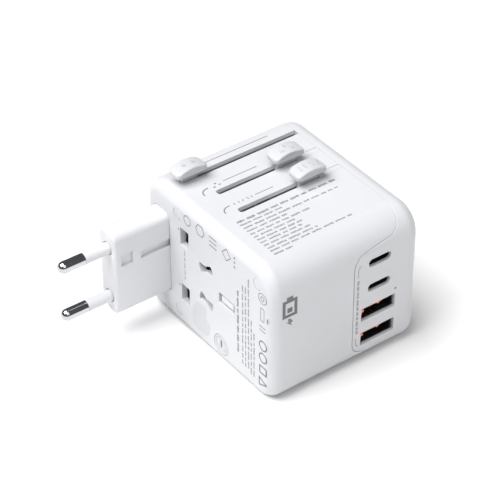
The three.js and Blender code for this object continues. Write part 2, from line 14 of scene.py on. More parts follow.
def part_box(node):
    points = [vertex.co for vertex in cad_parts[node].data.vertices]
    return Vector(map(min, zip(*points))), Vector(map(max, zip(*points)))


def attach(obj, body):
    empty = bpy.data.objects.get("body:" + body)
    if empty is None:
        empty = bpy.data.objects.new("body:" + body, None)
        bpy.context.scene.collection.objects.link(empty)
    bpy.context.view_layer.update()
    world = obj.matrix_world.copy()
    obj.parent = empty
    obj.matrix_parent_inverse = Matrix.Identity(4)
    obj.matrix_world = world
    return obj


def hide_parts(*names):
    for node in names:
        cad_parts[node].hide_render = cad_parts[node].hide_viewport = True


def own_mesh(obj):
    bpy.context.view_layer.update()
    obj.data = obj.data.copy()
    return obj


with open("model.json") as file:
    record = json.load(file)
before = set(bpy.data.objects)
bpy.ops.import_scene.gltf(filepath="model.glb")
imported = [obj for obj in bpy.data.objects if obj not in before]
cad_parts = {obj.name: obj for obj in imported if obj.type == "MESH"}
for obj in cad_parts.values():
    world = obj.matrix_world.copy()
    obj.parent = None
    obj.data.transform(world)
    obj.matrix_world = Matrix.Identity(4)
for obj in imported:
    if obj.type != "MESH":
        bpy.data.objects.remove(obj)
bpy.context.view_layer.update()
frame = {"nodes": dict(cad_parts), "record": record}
nodes = frame["nodes"]
MM = 0.001
rng = random.Random(11)
scene = bpy.context.scene
scene.view_settings.view_transform = "Standard"


def node_box(name):
    low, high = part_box(name)
    return low / MM, high / MM


# ------------------------------------------------------------------ sizes
house_low, house_high = node_box("main_housing")
PLUG_FACE, SOCKET_FACE = house_low.x, node_box("socket_end_cap")[1].x
FRONT, BACK, TOP = house_low.y, house_high.y, house_high.z
CORNERS = (8.0, 9.6, 6.8, 5.0)  # top back, top front, bottom front, bottom back
CORNER_SPOTS = ((BACK, TOP, CORNERS[0]), (FRONT, TOP, CORNERS[1]), (FRONT, 0.0, CORNERS[2]), (BACK, 0.0, CORNERS[3]))
PLUG_EDGE, SOCKET_EDGE = 3.8, 5.0
WALL, SLOT_WALL = 2.2, 1.45
SEAM_X, SEAM_GAP = 22.3, 0.2
PIN_Z = 25.65
UK_SPREAD, US_Y, US_SPREAD = 11.11, 0.7, 6.35  # British pins, American blades: heights either side of PIN_Z
EU_LOW, EU_HIGH, EU_REAR = 10.0, 41.3, -16.6  # European plug block
EU_PIN_LENGTH, EU_PIN_RADIUS = 19.0, 2.0
WELD = 2.5e-5  # metres, joins the near-duplicate points that the cuts leave
SLOT_END = 22.1
SLOTS = {"eu": (21.95, -23.1), "uk": (10.6, -17.0), "usau": (-0.75, -17.0)}  # y, left end
KNOB_X = {"eu": -19.9, "uk": 9.2, "usau": 9.2}
KNOB_NECK = {"eu": 5.8, "uk": 7.2, "usau": 7.2}
SCREWS = [(15.6, 44.4), (15.5, 6.4), (-25.8, 43.6)]
FUSE = (-6.9, 6.9)
USB_X, USB_C_Z, USB_A_Z = 12.2, (38.5, 28.9), (19.4, 9.8)
PORT_NEAR, PORT_FAR = FRONT + 1.2, -21.5
PORT_ROOM = (FRONT + 1.15, FRONT + 4)  # pocket behind a port's window
WEAR_START, WEAR_FULL = 0.53, 0.62  # pointiness of an edge where wear begins and where it is full


# ------------------------------------------------------------------ materials
def shader(name):
    mat = bpy.data.materials.new(name)
    mat.use_nodes = True
    tree = mat.node_tree
    tree.nodes.clear()
    out = tree.nodes.new("ShaderNodeOutputMaterial")
    bsdf = tree.nodes.new("ShaderNodeBsdfPrincipled")
    tree.links.new(bsdf.outputs["BSDF"], out.inputs["Surface"])
    coord = tree.nodes.new("ShaderNodeTexCoord")
    return mat, tree, bsdf, coord.outputs["Object"]


def noise(tree, coord, scale, detail=3.0, rough=0.55, stretch=None):
    if stretch:
        mapping = tree.nodes.new("ShaderNodeMapping")
        mapping.inputs["Scale"].default_value = stretch
        tree.links.new(coord, mapping.inputs["Vector"])
        coord = mapping.outputs["Vector"]
    tex = tree.nodes.new("ShaderNodeTexNoise")
    tex.inputs["Scale"].default_value = scale
    tex.inputs["Detail"].default_value = detail
    tex.inputs["Roughness"].default_value = rough
    tree.links.new(coord, tex.inputs["Vector"])
    return tex.outputs["Fac"]


def spread(tree, value, low, high, start=0.3, end=0.7):
    node = tree.nodes.new("ShaderNodeMapRange")
    node.inputs["From Min"].default_value = start
    node.inputs["From Max"].default_value = end
    node.inputs["To Min"].default_value = low
    node.inputs["To Max"].default_value = high
    tree.links.new(value, node.inputs["Value"])
    return node.outputs["Result"]


def mix(tree, factor, first, second):
    node = tree.nodes.new("ShaderNodeMix")
    node.data_type = "RGBA"
    tree.links.new(factor, node.inputs["Factor"])
    for socket, value in ((node.inputs[6], first), (node.inputs[7], second)):
        if isinstance(value, bpy.types.NodeSocket):
            tree.links.new(value, socket)
        else:
            socket.default_value = (*value, 1.0)
    return node.outputs[2]


def bump(tree, bsdf, layers):
    """Adds height layers of (value, depth in mm) to the shader."""
    normal = None
    for value, depth in layers:
        node = tree.nodes.new("ShaderNodeBump")
        node.inputs["Strength"].default_value = 1.0
        node.inputs["Distance"].default_value = depth * MM
        tree.links.new(value, node.inputs["Height"])
        if normal:
            tree.links.new(normal, node.inputs["Normal"])
        normal = node.outputs["Normal"]
    tree.links.new(normal, bsdf.inputs["Normal"])


def edge_wear(tree):
    geometry = tree.nodes.new("ShaderNodeNewGeometry")
    return spread(tree, geometry.outputs["Pointiness"], 0.0, 1.0, WEAR_START, WEAR_FULL)


def plastic(name, colour, rough, grain=0.0012, tint=0.975, wear=0.35, worn=None, grain_scale=2600.0):
    """Moulded plastic: slow colour drift, fine spark-eroded grain, polished edges."""
    mat, tree, bsdf, coord = shader(name)
    drift = noise(tree, coord, 55.0, 3.0)
    dark = tuple(c * tint for c in colour)
    base = mix(tree, spread(tree, drift, 0.0, 1.0), dark, colour)
    worn = worn or tuple(min(1.0, c * 1.05) for c in colour)
    speck = noise(tree, coord, 700.0, 4.0, 0.7)
    edge = tree.nodes.new("ShaderNodeMath")
    edge.operation = "MULTIPLY"
    tree.links.new(edge_wear(tree), edge.inputs[0])
    tree.links.new(spread(tree, speck, 0.0, wear, 0.42, 0.62), edge.inputs[1])
    tree.links.new(mix(tree, edge.outputs[0], base, worn), bsdf.inputs["Base Color"])
    patch = noise(tree, coord, 140.0, 5.0, 0.65)
    tree.links.new(spread(tree, patch, rough - 0.05, rough + 0.06), bsdf.inputs["Roughness"])
    fine = noise(tree, coord, grain_scale, 2.0, 0.6)
    bump(tree, bsdf, [(fine, grain), (noise(tree, coord, 120.0, 2.0), 0.004)])
    bsdf.inputs["IOR"].default_value = 1.5
    return mat


def metal(name, colour, rough, scratch=0.0006, axis=0, tarnish=0.93):
    """Plated metal with fine drawing lines along an axis and a little tarnish."""
    mat, tree, bsdf, coord = shader(name)
    stretch = [2200.0, 2200.0, 2200.0]
    stretch[axis] = 60.0
    lines = noise(tree, coord, 1.0, 3.0, 0.6, stretch)
    cloud = noise(tree, coord, 260.0, 4.0, 0.6)
    dull = tuple(c * tarnish for c in colour)
    tree.links.new(mix(tree, spread(tree, cloud, 0.0, 1.0), dull, colour), bsdf.inputs["Base Color"])
    tree.links.new(spread(tree, lines, rough * 0.8, rough * 1.4), bsdf.inputs["Roughness"])
    bump(tree, bsdf, [(lines, scratch)])
    bsdf.inputs["Metallic"].default_value = 1.0
    return mat


def ink(name, colour):
    """Screen-printed ink: slightly uneven cover and a dry surface."""
    mat, tree, bsdf, coord = shader(name)
    cover = noise(tree, coord, 1500.0, 4.0, 0.7)
    thin = tuple(c + (0.62 - c) * 0.16 for c in colour)
    tree.links.new(mix(tree, spread(tree, cover, 0.0, 1.0, 0.35, 0.7), colour, thin), bsdf.inputs["Base Color"])
    tree.links.new(spread(tree, cover, 0.5, 0.62), bsdf.inputs["Roughness"])
    bump(tree, bsdf, [(cover, 0.002)])
    return mat


def circuit_board(name):
    """Solder mask with faint copper tracks under it."""
    mat, tree, bsdf, coord = shader(name)
    tracks = tree.nodes.new("ShaderNodeTexVoronoi")
    tracks.distance = "MANHATTAN"
    tracks.inputs["Scale"].default_value = 420.0
    tree.links.new(coord, tracks.inputs["Vector"])
    lines = spread(tree, tracks.outputs["Distance"], 1.0, 0.0, 0.3, 0.55)
    tree.links.new(mix(tree, lines, (0.012, 0.07, 0.03), (0.03, 0.16, 0.06)), bsdf.inputs["Base Color"])
    tree.links.new(spread(tree, noise(tree, coord, 900.0), 0.3, 0.45), bsdf.inputs["Roughness"])
    bump(tree, bsdf, [(lines, 0.02)])
    return mat


def clear_glass(name):
    mat, tree, bsdf, coord = shader(name)
    streak = noise(tree, coord, 1.0, 2.0, 0.5, [60.0, 900.0, 900.0])
    tree.links.new(spread(tree, streak, 0.02, 0.08), bsdf.inputs["Roughness"])
    tree.links.new(mix(tree, streak, (0.86, 0.92, 0.92), (0.95, 0.98, 0.98)), bsdf.inputs["Base Color"])
    bsdf.inputs["Transmission Weight"].default_value = 0.9
    bsdf.inputs["IOR"].default_value = 1.5
    bump(tree, bsdf, [(streak, 0.001)])
    return mat


SHELL = plastic("shell_plastic", (0.615, 0.62, 0.64), 0.38)
PLUG = plastic("plug_plastic", (0.675, 0.68, 0.70), 0.34)
# Painted shade: the raised knob marks are of the knob's own plastic; this darker copy stands in for the shading of
# their relief
KNOB_MARK_PAINTED_SHADE = plastic("knob_mark_painted_shade", (0.49, 0.495, 0.51), 0.5)
KNOB = plastic("knob_plastic", (0.56, 0.565, 0.58), 0.52, grain=0.003, grain_scale=1800.0, tint=0.97)
# Painted shade: near-black colour on the inner parts and on the housing's inside faces, standing in for the shade
# inside the body
INNER_PAINTED_SHADE = plastic("inner_painted_shade", (0.028, 0.029, 0.032), 0.5, tint=0.8, worn=(0.07, 0.07, 0.075))
PATCH = plastic("patch_film", (0.555, 0.56, 0.58), 0.42, tint=0.98)
# Painted light: a much lighter copy of the shell plastic for the side walls of the top slots, standing in for light on
# those walls
SLOT_SIDE_PAINTED_LIGHT = plastic("slot_wall_painted_light", (0.88, 0.885, 0.895), 0.5)
# Painted shade: mid grey on the pin carriages, so that where they show down the slots they give the shaded line there
CARRIAGE_PAINTED_SHADE = plastic("carriage_painted_shade", (0.36, 0.365, 0.375), 0.45)
BLACK = plastic("port_black", (0.004, 0.004, 0.0045), 0.45, tint=0.7, worn=(0.02, 0.02, 0.02))
BLACK.node_tree.nodes["Principled BSDF"].inputs["Specular IOR Level"].default_value = 0.12
CHROME = metal("pin_nickel", (0.56, 0.565, 0.575), 0.055, scratch=0.00002)
STEEL = metal("screw_steel", (0.72, 0.73, 0.75), 0.2)
BLADE = metal("blade_nickel", (0.84, 0.845, 0.85), 0.36)
DARK_STEEL = metal("port_steel", (0.20, 0.20, 0.21), 0.3, axis=1)
BRASS = metal("contact_brass", (0.78, 0.56, 0.25), 0.24)
COPPER = metal("port_copper", (0.86, 0.36, 0.20), 0.3, axis=1)
GOLD = metal("pad_gold", (0.90, 0.66, 0.28), 0.22, axis=1)
FERRITE = plastic("core_ferrite", (0.045, 0.045, 0.048), 0.62, grain=0.01, grain_scale=1200.0)
WINDING = plastic("winding_tape", (0.75, 0.50, 0.06), 0.4, grain=0.006, tint=0.85)
CAN = plastic("capacitor_sleeve", (0.02, 0.03, 0.055), 0.38, tint=0.8)
BOARD = circuit_board("board_mask")
GLASS = clear_glass("fuse_glass")
LIGHT = plastic("light_pipe", (0.30, 0.31, 0.33), 0.25)
INK = ink("print_grey", (0.17, 0.17, 0.18))
INK_DARK = ink("print_dark", (0.115, 0.115, 0.125))
INK_FINE = ink("print_fine", (0.22, 0.22, 0.23))

SLOT_LOOKS = {
    "shell": SHELL, "knob": KNOB, "plug": PLUG, "inner": INNER_PAINTED_SHADE, "steel": STEEL, "brass": BRASS, "board": BOARD,
    "port": BLACK, "copper": COPPER, "glass": GLASS, "ferrite": FERRITE, "winding": WINDING, "can": CAN,
    "light": LIGHT,
}


# ------------------------------------------------------------------ mesh helpers
def make(name, verts, faces, material=None):
    mesh = bpy.data.meshes.new(name)
    mesh.from_pydata([Vector(v) * MM for v in verts], [], faces)
    obj = bpy.data.objects.new(name, mesh)
    scene.collection.objects.link(obj)
    tidy(obj)
    if material:
        mesh.materials.append(material)
    return obj


def tidy(obj, weld=2e-7):
    bm = bmesh.new()
    bm.from_mesh(obj.data)
    bmesh.ops.remove_doubles(bm, verts=bm.verts, dist=weld)
    bmesh.ops.recalc_face_normals(bm, faces=bm.faces)
    bm.to_mesh(obj.data)
    bm.free()


def join(name, parts):
    """One object from several, each kept as its own closed shell."""
    bm = bmesh.new()
    for part in parts:
        bm.from_mesh(part.data)
    mesh = bpy.data.meshes.new(name)
    bm.to_mesh(mesh)
    bm.free()
    drop(*parts)
    obj = bpy.data.objects.new(name, mesh)
    scene.collection.objects.link(obj)
    return obj


def drop(*objs):
    for obj in objs:
        bpy.data.objects.remove(obj)


def bake(obj):
    bpy.context.view_layer.update()
    graph = bpy.context.evaluated_depsgraph_get()
    mesh = bpy.data.meshes.new_from_object(obj.evaluated_get(graph))
    obj.modifiers.clear()
    obj.data = mesh
    return obj


def combine(obj, tools, operation="DIFFERENCE"):
    for tool in tools:
        mod = obj.modifiers.new("solid", "BOOLEAN")
        mod.operation = operation
        mod.object = tool
        mod.solver = "MANIFOLD"
    bake(obj)
    drop(*tools)
    return obj


def loft(name, rings):
    """Closed skin through rings of equal length, with a flat face at each end."""
    count = len(rings[0])
    verts = [p for ring in rings for p in ring]
    faces = [list(range(count)), list(range(len(verts) - count, len(verts)))]
    for r in range(len(rings) - 1):
        for i in range(count):
            j = (i + 1) % count
            faces.append((r * count + i, r * count + j, (r + 1) * count + j, (r + 1) * count + i))
    return make(name, verts, faces)


def place(axis, u, v, t):
    """A point at (u, v) of the plane normal to axis: (y, z) for X, (x, z) for Y and (x, y) for Z."""
    return {"X": (t, u, v), "Y": (u, t, v), "Z": (u, v, t)}[axis]


def rounded(u0, u1, v0, v1, radii, steps=8):
    """Outline of a rectangle with rounded corners: top right, top left, bottom left, bottom right."""
    if not isinstance(radii, (tuple, list)):
        radii = (radii,) * 4
    a, b, c, d = (max(r, 0.01) for r in radii)
    centres = ((u1 - a, v1 - a, a), (u0 + b, v1 - b, b), (u0 + c, v0 + c, c), (u1 - d, v0 + d, d))
    points = []
    for quarter, (u, v, r) in enumerate(centres):
        for i in range(steps + 1):
            turn = math.radians(90 * (quarter + i / steps))
            points.append((u + r * math.cos(turn), v + r * math.sin(turn)))
    return points


def prism(axis, outline, start, end, name="tool"):
    return loft(name, [[place(axis, u, v, t) for u, v in outline] for t in (start, end)])


def block(x0, x1, y0, y1, z0, z1, name="tool"):
    return prism("Z", [(x0, y0), (x1, y0), (x1, y1), (x0, y1)], z0, z1, name)


def mouth(axis, u0, u1, v0, v1, radius, face, depth, lip=0.13, steps=8):
    """Cutter for a rounded window whose edge on the outer face is softly flared; runs in the positive direction."""
    rings = []
    for t, grow in ((-1.0, lip), (0.0, lip), (0.3 * lip, 0.3 * lip), (lip, 0.0), (depth, 0.0)):
        outline = rounded(u0 - grow, u1 + grow, v0 - grow, v1 + grow, radius + grow, steps)
        rings.append([place(axis, u, v, face + t) for u, v in outline])
    return loft("tool", rings)


def rod(axis, u, v, radius, start, end, sides):
    outline = [(u + radius * math.cos(math.tau * i / sides), v + radius * math.sin(math.tau * i / sides))
               for i in range(sides)]
    return prism(axis, outline, start, end)


def turned(name, profile, centre, sides, axis="X"):
    """Solid of revolution; profile is (position along the axis, radius)."""
    rings = []
    for t, radius in profile:
        radius = max(radius, 0.001)
        rings.append([place(axis, centre[0] + radius * math.cos(math.tau * i / sides),
                            centre[1] + radius * math.sin(math.tau * i / sides), t) for i in range(sides)])
    return loft(name, rings)


def bezier(p0, p1, p2, p3, steps=16):
    points = []
    for i in range(1, steps + 1):
        t = i / steps
        a, b, c, d = (1 - t) ** 3, 3 * t * (1 - t) ** 2, 3 * t * t * (1 - t), t ** 3
        points.append(tuple(a * w + b * x + c * y + d * z for w, x, y, z in zip(p0, p1, p2, p3)))
    return points


def soften(obj, width, segments=2, angle=32.0, where=None):
    """Rounds the sharp edges, or those of them whose middle satisfies where."""
    tidy(obj)
    bm = bmesh.new()
    bm.from_mesh(obj.data)
    layer = bm.edges.layers.float.get("bevel_weight_edge") or bm.edges.layers.float.new("bevel_weight_edge")
    for edge in bm.edges:
        middle = (edge.verts[0].co + edge.verts[1].co) / 2 / MM
        sharp = len(edge.link_faces) == 2 and edge.calc_face_angle(0.0) > math.radians(angle)
        edge[layer] = 1.0 if sharp and (where is None or where(middle)) else 0.0
    bm.to_mesh(obj.data)
    bm.free()
    mod = obj.modifiers.new("edges", "BEVEL")
    mod.limit_method = "WEIGHT"
    mod.width = width * MM
    mod.segments = segments
    mod.use_clamp_overlap = False
    mod.miter_outer = "MITER_ARC"
    bake(obj)
    return obj


def smooth(obj, angle):
    mesh = obj.data
    mesh.shade_smooth()
    mesh.set_sharp_from_angle(angle=math.radians(angle))
    mod = obj.modifiers.new("normals", "WEIGHTED_NORMAL")
    mod.keep_sharp = True
    mod.weight = 80
    return obj


def finish_piece(obj, body, slot, *replaced, material=None, angle=35.0, shade=True):
    if material:
        obj.data.materials.clear()
        obj.data.materials.append(material)
    if shade and obj.type == "MESH":
        smooth(obj, angle)
    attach(obj, body)
    if replaced:
        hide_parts(*replaced)
    return obj


# ------------------------------------------------------------------ body shell
def body_profile(inset, steps=14):
    radii = [max(r - inset, 0.6) for r in CORNERS]
    # corner order of rounded(): +u +v, -u +v, -u -v, +u -v, with u = y and v = z
    return rounded(FRONT + inset, BACK - inset, inset, TOP - inset, radii, steps)


def body_block(edge, name, steps=14):
    rings = []
    for i in range(steps + 1):
        turn = math.radians(90 * i / steps)
        inset, x = edge * (1 - math.sin(turn)), PLUG_FACE + edge * (1 - math.cos(turn))
        rings.append([place("X", u, v, x) for u, v in body_profile(inset)])
    for i in range(steps, -1, -1):
        turn = math.radians(90 * i / steps)
        inset, x = edge * (1 - math.sin(turn)), SOCKET_FACE - edge * (1 - math.cos(turn))
        rings.append([place("X", u, v, x) for u, v in body_profile(inset)])
    return loft(name, rings)


def cavity():
    return prism("X", body_profile(WALL, 6), PLUG_FACE + WALL, SOCKET_FACE - 2.4)


def seam_outline(gap):
    """Outline in (x, z) of the end cap's side of the seam on the USB face."""
    left, seam = 2.4 - gap, SEAM_X - gap
    path = [(60.0, 40.0), (60.0, seam), (TOP, seam)]
    path += bezier((TOP, seam), (49.4 + gap / 2, 21.0 - gap), (45.2 + gap, 20.6 - gap / 2), (44.7 + gap, 16.2))
    path.append((43.4 + gap, 7.2))
    path += bezier((43.4 + gap, 7.2), (43.0 + gap, 4.2 - gap), (41.4, left), (38.2, left))
    path.append((9.2, left))
    path += bezier((9.2, left), (7.0, left), (6.2 - gap, 3.0), (5.2 - gap, 4.9))
    path += bezier((5.2 - gap, 4.9), (3.8 - gap, 7.4), (2.6 - gap, 9.0), (1.2 - gap, 11.0))
    path += bezier((1.2 - gap, 11.0), (0.4 - gap, 14.0), (0.2 - gap, 18.0), (-gap, seam))
    path += [(-10.0, seam), (-10.0, 40.0)]
    return [(x, z) for z, x in path]


def cap_side(gap):
    tongue = prism("Y", seam_outline(gap), FRONT - 5, -24.0)
    return combine(tongue, [block(SEAM_X - gap * 0.3, 40, -24.01, 40, -10, 60)], "UNION")


def near_skin(point, depth=0.9):
    """Whether a point is on or just under the outside of the body."""
    return (point.x < PLUG_FACE + depth or point.x > SOCKET_FACE - depth or point.y < FRONT + depth
            or point.y > BACK - depth or point.z > TOP - depth or point.z < depth or corner_gap(point) < depth)


def corner_offset(point):
    """Offset in (y, z) from the centre of the corner round the point lies in, with its radius; None elsewhere."""
    for y, z, r in CORNER_SPOTS:
        way_y, way_z = (1 if y > 0 else -1), (1 if z > 0 else -1)
        dy, dz = point.y - (y - way_y * r), point.z - (z - way_z * r)
        if dy * way_y > 0 and dz * way_z > 0:
            return dy, dz, r
    return None


def corner_gap(point):
    """Distance under the rounded corners of the body's section."""
    offset = corner_offset(point)
    return offset[2] - math.hypot(offset[0], offset[1]) if offset else math.inf


def outer_edges(point):
    """Edges that get a fine round: all outer ones but the joints round small inserts and along the top seam."""
    if not near_skin(point):
        return False
    if point.x < PLUG_FACE + 0.9 and any(math.hypot(point.y - y, point.z - z) < 2.3 for y, z in SCREWS):
        return False
    if abs(point.x - SEAM_X) < 0.4 and point.z > TOP - 1:
        return False
    return point.y > FRONT + 1 or not (4.9 < point.x < 20.5 and 6.2 < point.z < 41.0)


def skin_normal(point):
    """Direction in which the rounded body faces at a point of its skin."""
    gaps = ((BACK - point.y, (0, 1, 0)), (point.y - FRONT, (0, -1, 0)),
            (TOP - point.z, (0, 0, 1)), (point.z, (0, 0, -1)))
    section = Vector(min(gaps)[1])
    offset = corner_offset(point)
    if offset:
        section = Vector((0, offset[0], offset[1])).normalized()
    lean = 0.0
    if point.x < PLUG_FACE + PLUG_EDGE:
        lean = max(-1.0, (point.x - PLUG_FACE) / PLUG_EDGE - 1)
    elif point.x > SOCKET_FACE - SOCKET_EDGE:
        lean = min(1.0, 1 - (SOCKET_FACE - point.x) / SOCKET_EDGE)
    return Vector((lean, 0, 0)) + section * math.sqrt(1 - lean * lean)


def follow_skin(obj):
    """Shades the outside as the true rounded body, whatever triangles the cuts left in it."""
    mesh = bake(obj).data
    normals = [Vector(corner.vector) for corner in mesh.corner_normals]
    for face in mesh.polygons:
        for loop in face.loop_indices:
            wanted = skin_normal(mesh.vertices[mesh.loops[loop].vertex_index].co / MM)
            if wanted.dot(face.normal) > 0.988:
                normals[loop] = wanted
    mesh.normals_split_custom_set(normals)


def bow_tie(y, z, side):
    """Outline of the slot a blade turns in."""
    reach, turn = 3.5, 30.0
    half = math.degrees(math.asin(1.0 / reach))
    points = []
    for start in (-half, 180 - half):
        for i in range(9):
            a = math.radians(side * (start + (turn + 2 * half) * i / 8))
            points.append((y + reach * math.cos(a), z + reach * math.sin(a)))
        a = math.radians(side * (start + half + turn / 2 + 90))
        points.append((y + 1.04 * math.cos(a), z + 1.04 * math.sin(a)))
    return points


def screw_holes():
    tools = []
    for y, z in SCREWS:
        tools.append(rod("X", y, z, 2.0, PLUG_FACE - 1, PLUG_FACE + 3.6, 48))
        tools.append(rod("X", y, z, 1.2, PLUG_FACE + 3, PLUG_FACE + 8, 24))
    return tools


housing = body_block(PLUG_EDGE, "housing")
combine(housing, [cavity()])
combine(housing, [rod("X", y, z, 2.5, PLUG_FACE + 1, PLUG_FACE + 5.6, 40) for y, z in SCREWS]
        + [block(PLUG_FACE + 1, SEAM_X - 0.6, 3.2, 4.4, 1, 7.2)], "UNION")
openings = [prism("X", rounded(20.08, 29.02, 9.88, 41.42, (2.7, 2.6, 3.0, 5.7)), PLUG_FACE - 1, PLUG_FACE + 4)]
for side in (-1, 1):
    z = PIN_Z + side * UK_SPREAD
    openings.append(prism("X", rounded(9.85, 14.25, z - 3.35, z + 3.35, 0.4, 4), PLUG_FACE - 1, PLUG_FACE + 4))
    openings.append(prism("X", bow_tie(US_Y, PIN_Z + side * US_SPREAD, -side), PLUG_FACE - 1, PLUG_FACE + 4))
openings.append(prism("X", rounded(-14.2, -6.1, PIN_Z - 2.05, PIN_Z + 2.05, 0.4, 4), PLUG_FACE - 1, PLUG_FACE + 4))
openings.append(rod("X", *FUSE, 3.76, PLUG_FACE - 1, PLUG_FACE + 4, 96))
for y, start in SLOTS.values():
    openings.append(prism("Z", rounded(start, SLOT_END + 1, y - 1.1, y + 1.1, 0.9, 6), TOP - 5, TOP + 1))
    openings.append(block(start - 1.2, SEAM_X, y - 3.0, y + 3.0, TOP - 3.0, TOP - SLOT_WALL))
combine(housing, openings + screw_holes())
combine(housing, [cap_side(SEAM_GAP)])
tidy(housing, WELD)
soften(housing, 0.16, 2, where=outer_edges)
finish_piece(housing, "body", "shell", "main_housing", material=SHELL)
follow_skin(housing)
# Painted shade: the near-black second material goes on the faces deep inside the housing and on those under the top
# round the slots
housing.data.materials.append(INNER_PAINTED_SHADE)
# Painted light: the lighter third material goes on the side walls of the top slots
housing.data.materials.append(SLOT_SIDE_PAINTED_LIGHT)
for face in housing.data.polygons:
    middle = face.center / MM
    under_top = middle.z < TOP - SLOT_WALL + 0.02 and face.normal.z < -0.5 and middle.z > TOP - 4
    if under_top or (middle.z < TOP - SLOT_WALL and middle.z > TOP - 12 and not near_skin(middle, 1.9)):
        face.material_index = 1
    elif TOP - SLOT_WALL < middle.z < TOP - 0.16 and abs(face.normal.z) < 0.3 and not near_skin(middle, 0.1):
        face.material_index = 2

# ------------------------------------------------------------------ end cap with the USB tongue
end_cap = body_block(SOCKET_EDGE, "end_cap")
combine(end_cap, [cavity()])
combine(end_cap, [cap_side(0.0)], "INTERSECT")
combine(end_cap, [rod("X", y, z, 2.4, PLUG_FACE + 6, SOCKET_FACE - 2, 32) for y, z in SCREWS]
        + [block(SOCKET_FACE - 4.6, SOCKET_FACE - 2.3, -22.0, 16.5, PIN_Z + s * 18.4 - 2.4, PIN_Z + s * 18.4 + 2.4)
           for s in (-1, 1)], "UNION")
INSERT = (-20.5, 15.0, PIN_Z - 17.2, PIN_Z + 17.2)
windows = [prism("X", rounded(INSERT[0] - 0.2, INSERT[1] + 0.2, INSERT[2] - 0.2, INSERT[3] + 0.2, 9.2, 20),
                 SOCKET_FACE - 2.9, SOCKET_FACE + 1)]
windows += [rod("X", y, z, 1.15, PLUG_FACE + 3, PLUG_FACE + 20, 24) for y, z in SCREWS]
for z in USB_C_Z:
    windows.append(mouth("Y", USB_X - 4.35, USB_X + 4.35, z - 1.45, z + 1.45, 1.3, FRONT, 4.0, steps=12))
    windows.append(prism("Y", rounded(USB_X - 4.8, USB_X + 4.8, z - 1.95, z + 1.95, 1.94, 12), *PORT_ROOM))
for z in USB_A_Z:
    windows.append(mouth("Y", USB_X - 6.65, USB_X + 6.65, z - 2.52, z + 2.52, 0.25, FRONT, 4.0, steps=4))
    windows.append(prism("Y", rounded(USB_X - 7.0, USB_X + 7.0, z - 2.95, z + 2.95, 0.5, 4), *PORT_ROOM))
windows.append(mouth("Y", 18.4, 19.4, 23.6, 24.4, 0.38, FRONT, 4.0, 0.06, 6))
combine(end_cap, windows)
tidy(end_cap, WELD)
soften(end_cap, 0.14, 2, where=outer_edges)
finish_piece(end_cap, "body", "shell", "socket_end_cap", material=SHELL)
follow_skin(end_cap)

# ------------------------------------------------------------------ socket plate
plate = prism("X", rounded(*INSERT, 9.0, 24), SOCKET_FACE - 2.6, SOCKET_FACE - 0.3, "socket_plate")
holes = []
for s in (-1, 1):
    holes.append(combine(
        prism("X", rounded(5.4, 10.6, PIN_Z + s * 9.9 - 4.7, PIN_Z + s * 9.9 + 4.7, 1.2, 6), 20, 40),
        [prism("X", rounded(4.3, 11.7, PIN_Z + s * 6.9 - 1.1, PIN_Z + s * 6.9 + 1.1, 0.4, 4), 19, 41)], "UNION"))
holes.append(combine(prism("X", rounded(-18.4, -10.0, PIN_Z - 2.3, PIN_Z + 2.3, 0.5, 4), 20, 40),
                     [rod("X", -3.9, PIN_Z, 2.6, 19, 41, 48)], "UNION"))
combine(plate, holes)
combine(plate, [block(24.2, SOCKET_FACE - 2.5, -8.2, -7.1, 28.85, 30.85)], "UNION")
soften(plate, 0.25, 3, where=lambda p: p.x > SOCKET_FACE - 0.6)
finish_piece(plate, "body", "shell", "socket_insert", material=SHELL)

# ------------------------------------------------------------------ European plug
pin_low, pin_high = node_box("eu_pin_upper")
EU_Y = (pin_low.y + pin_high.y) / 2
EU_FRONT = pin_low.x + EU_PIN_LENGTH
EU_PINS = {spot: sum(corner.z for corner in node_box(f"eu_pin_{spot}")) / 2 for spot in ("upper", "lower")}
block_low, block_high = node_box("eu_plug_block")
BLOCK_FRONT, SIDE_Y, FAR_Y = block_low.x, 20.2, block_high.y


def plug_section(inset):
    radii = [max(r - inset, 0.5) for r in (2.6, 2.5, 2.8, 5.6)]
    return rounded(SIDE_Y + inset, FAR_Y - inset, EU_LOW + inset, EU_HIGH - inset, radii, 12)


PLUG_ROUND = 0.9
rings = []
for i in range(9):
    turn = math.radians(90 * i / 8)
    rings.append([place("X", u, v, BLOCK_FRONT + PLUG_ROUND * (1 - math.cos(turn)))
                  for u, v in plug_section(PLUG_ROUND * (1 - math.sin(turn)))])
rings.append([place("X", u, v, EU_REAR) for u, v in plug_section(0.0)])
eu_block = loft("eu_block", rings)
combine(eu_block, [block(-24.5, -15.7, 19.75, 24.15, 39.3, TOP - 2.7)], "UNION")
plug_cuts = [
    block(-23.1, -16.7, 20.85, 23.05, TOP - 6.9, TOP),
    block(-39.3, 0.0, SIDE_Y - 1, SIDE_Y + 1.1, 28.9, 31.9),
    prism("Y", rounded(-46.8, -42.4, 28.9, 33.3, 0.3, 4), SIDE_Y - 1, SIDE_Y + 1.0),
]
for z in EU_PINS.values():
    plug_cuts.append(rod("X", EU_Y, z, 2.3, BLOCK_FRONT - 1, EU_FRONT, 48))
    plug_cuts.append(rod("X", EU_Y, z, 2.06, EU_FRONT - 1, EU_FRONT + 8.1, 48))
combine(eu_block, plug_cuts)
soften(eu_block, 0.11, 2)
finish_piece(eu_block, "eu_slider", "plug", "eu_plug_block", material=PLUG)

